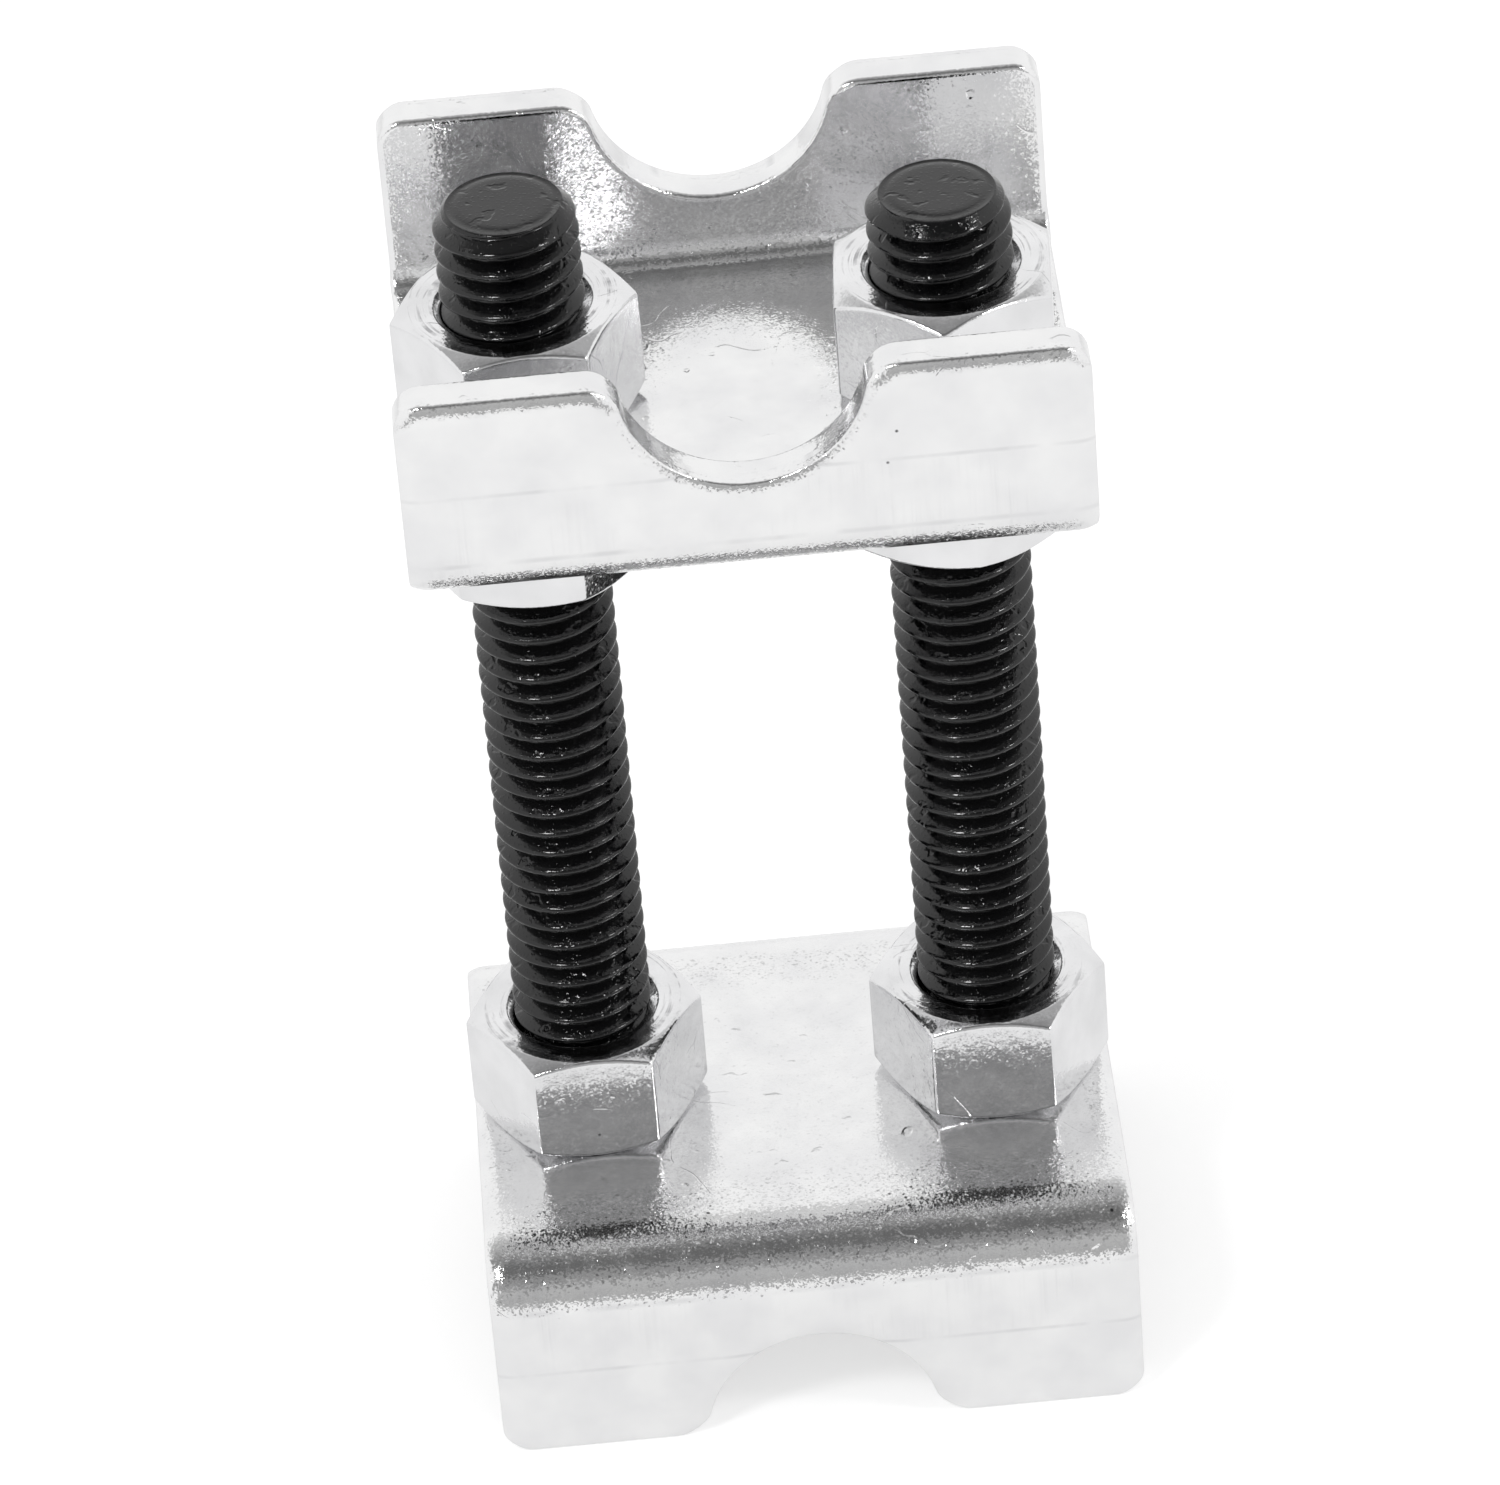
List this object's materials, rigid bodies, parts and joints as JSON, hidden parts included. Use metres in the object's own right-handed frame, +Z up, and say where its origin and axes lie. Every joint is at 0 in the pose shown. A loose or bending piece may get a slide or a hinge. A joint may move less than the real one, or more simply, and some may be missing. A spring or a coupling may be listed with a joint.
{
  "type": "coil spring compressor",
  "caption": "Threaded coil spring tool: notched channel brackets face away from each other on full-thread bolts, and turning the nuts moves one bracket along them.",
  "frame": {"origin": "centre of the footprint, on the plane that the lower bracket's flange tips stand on, midway between the bolts", "axes": "+Z up along the bolts, +X along the brackets from the left bolt to the right bolt, +Y across the channels, away from the front"},
  "size_m": [0.0444, 0.0382, 0.0889],
  "materials": {
    "zinc_bracket": "bright zinc plate on stamped steel, satin with a fine grain",
    "zinc_nut": "bright zinc plate on machined steel",
    "black_bolt": "thick gloss black coating on rolled threads"
  },
  "bodies": {
    "lower_bracket": {"lower_bracket": "zinc_bracket", "left_bolt": "black_bolt", "right_bolt": "black_bolt", "left_base_nut": "zinc_nut", "right_base_nut": "zinc_nut"},
    "upper_bracket": {"upper_bracket": "zinc_bracket"},
    "left_adjusting_nut": {"left_adjusting_nut": "zinc_nut"},
    "right_adjusting_nut": {"right_adjusting_nut": "zinc_nut"},
    "left_lock_nut": {"left_lock_nut": "zinc_nut"},
    "right_lock_nut": {"right_lock_nut": "zinc_nut"}
  },
  "joints": [
    {"name": "upper_bracket_lift", "type": "slide", "parent": "lower_bracket", "child": "upper_bracket", "axis": [0, 0, 1], "range_m": [-0.03651, 0.00476]},
    {"name": "left_adjusting_nut_turn", "type": "hinge", "parent": "upper_bracket", "child": "left_adjusting_nut", "pos_m": [-0.01397, 0, 0.06592], "axis": [0, 0, 1], "range_deg": [-8280.5, 1080.5]},
    {"name": "right_adjusting_nut_turn", "type": "hinge", "parent": "upper_bracket", "child": "right_adjusting_nut", "pos_m": [0.01397, 0, 0.06592], "axis": [0, 0, 1], "range_deg": [-8280.5, 1080.5]},
    {"name": "left_lock_nut_turn", "type": "hinge", "parent": "upper_bracket", "child": "left_lock_nut", "pos_m": [-0.01397, 0, 0.0774], "axis": [0, 0, 1], "range_deg": [-8280.5, 1080.5]},
    {"name": "right_lock_nut_turn", "type": "hinge", "parent": "upper_bracket", "child": "right_lock_nut", "pos_m": [0.01397, 0, 0.0774], "axis": [0, 0, 1], "range_deg": [-8280.5, 1080.5]}
  ],
  "couplings": [
    {"joint": "left_adjusting_nut_turn", "follows": "upper_bracket_lift", "rad_per_m": 3957.9},
    {"joint": "right_adjusting_nut_turn", "follows": "upper_bracket_lift", "rad_per_m": 3957.9},
    {"joint": "left_lock_nut_turn", "follows": "upper_bracket_lift", "rad_per_m": 3957.9},
    {"joint": "right_lock_nut_turn", "follows": "upper_bracket_lift", "rad_per_m": 3957.9}
  ]
}
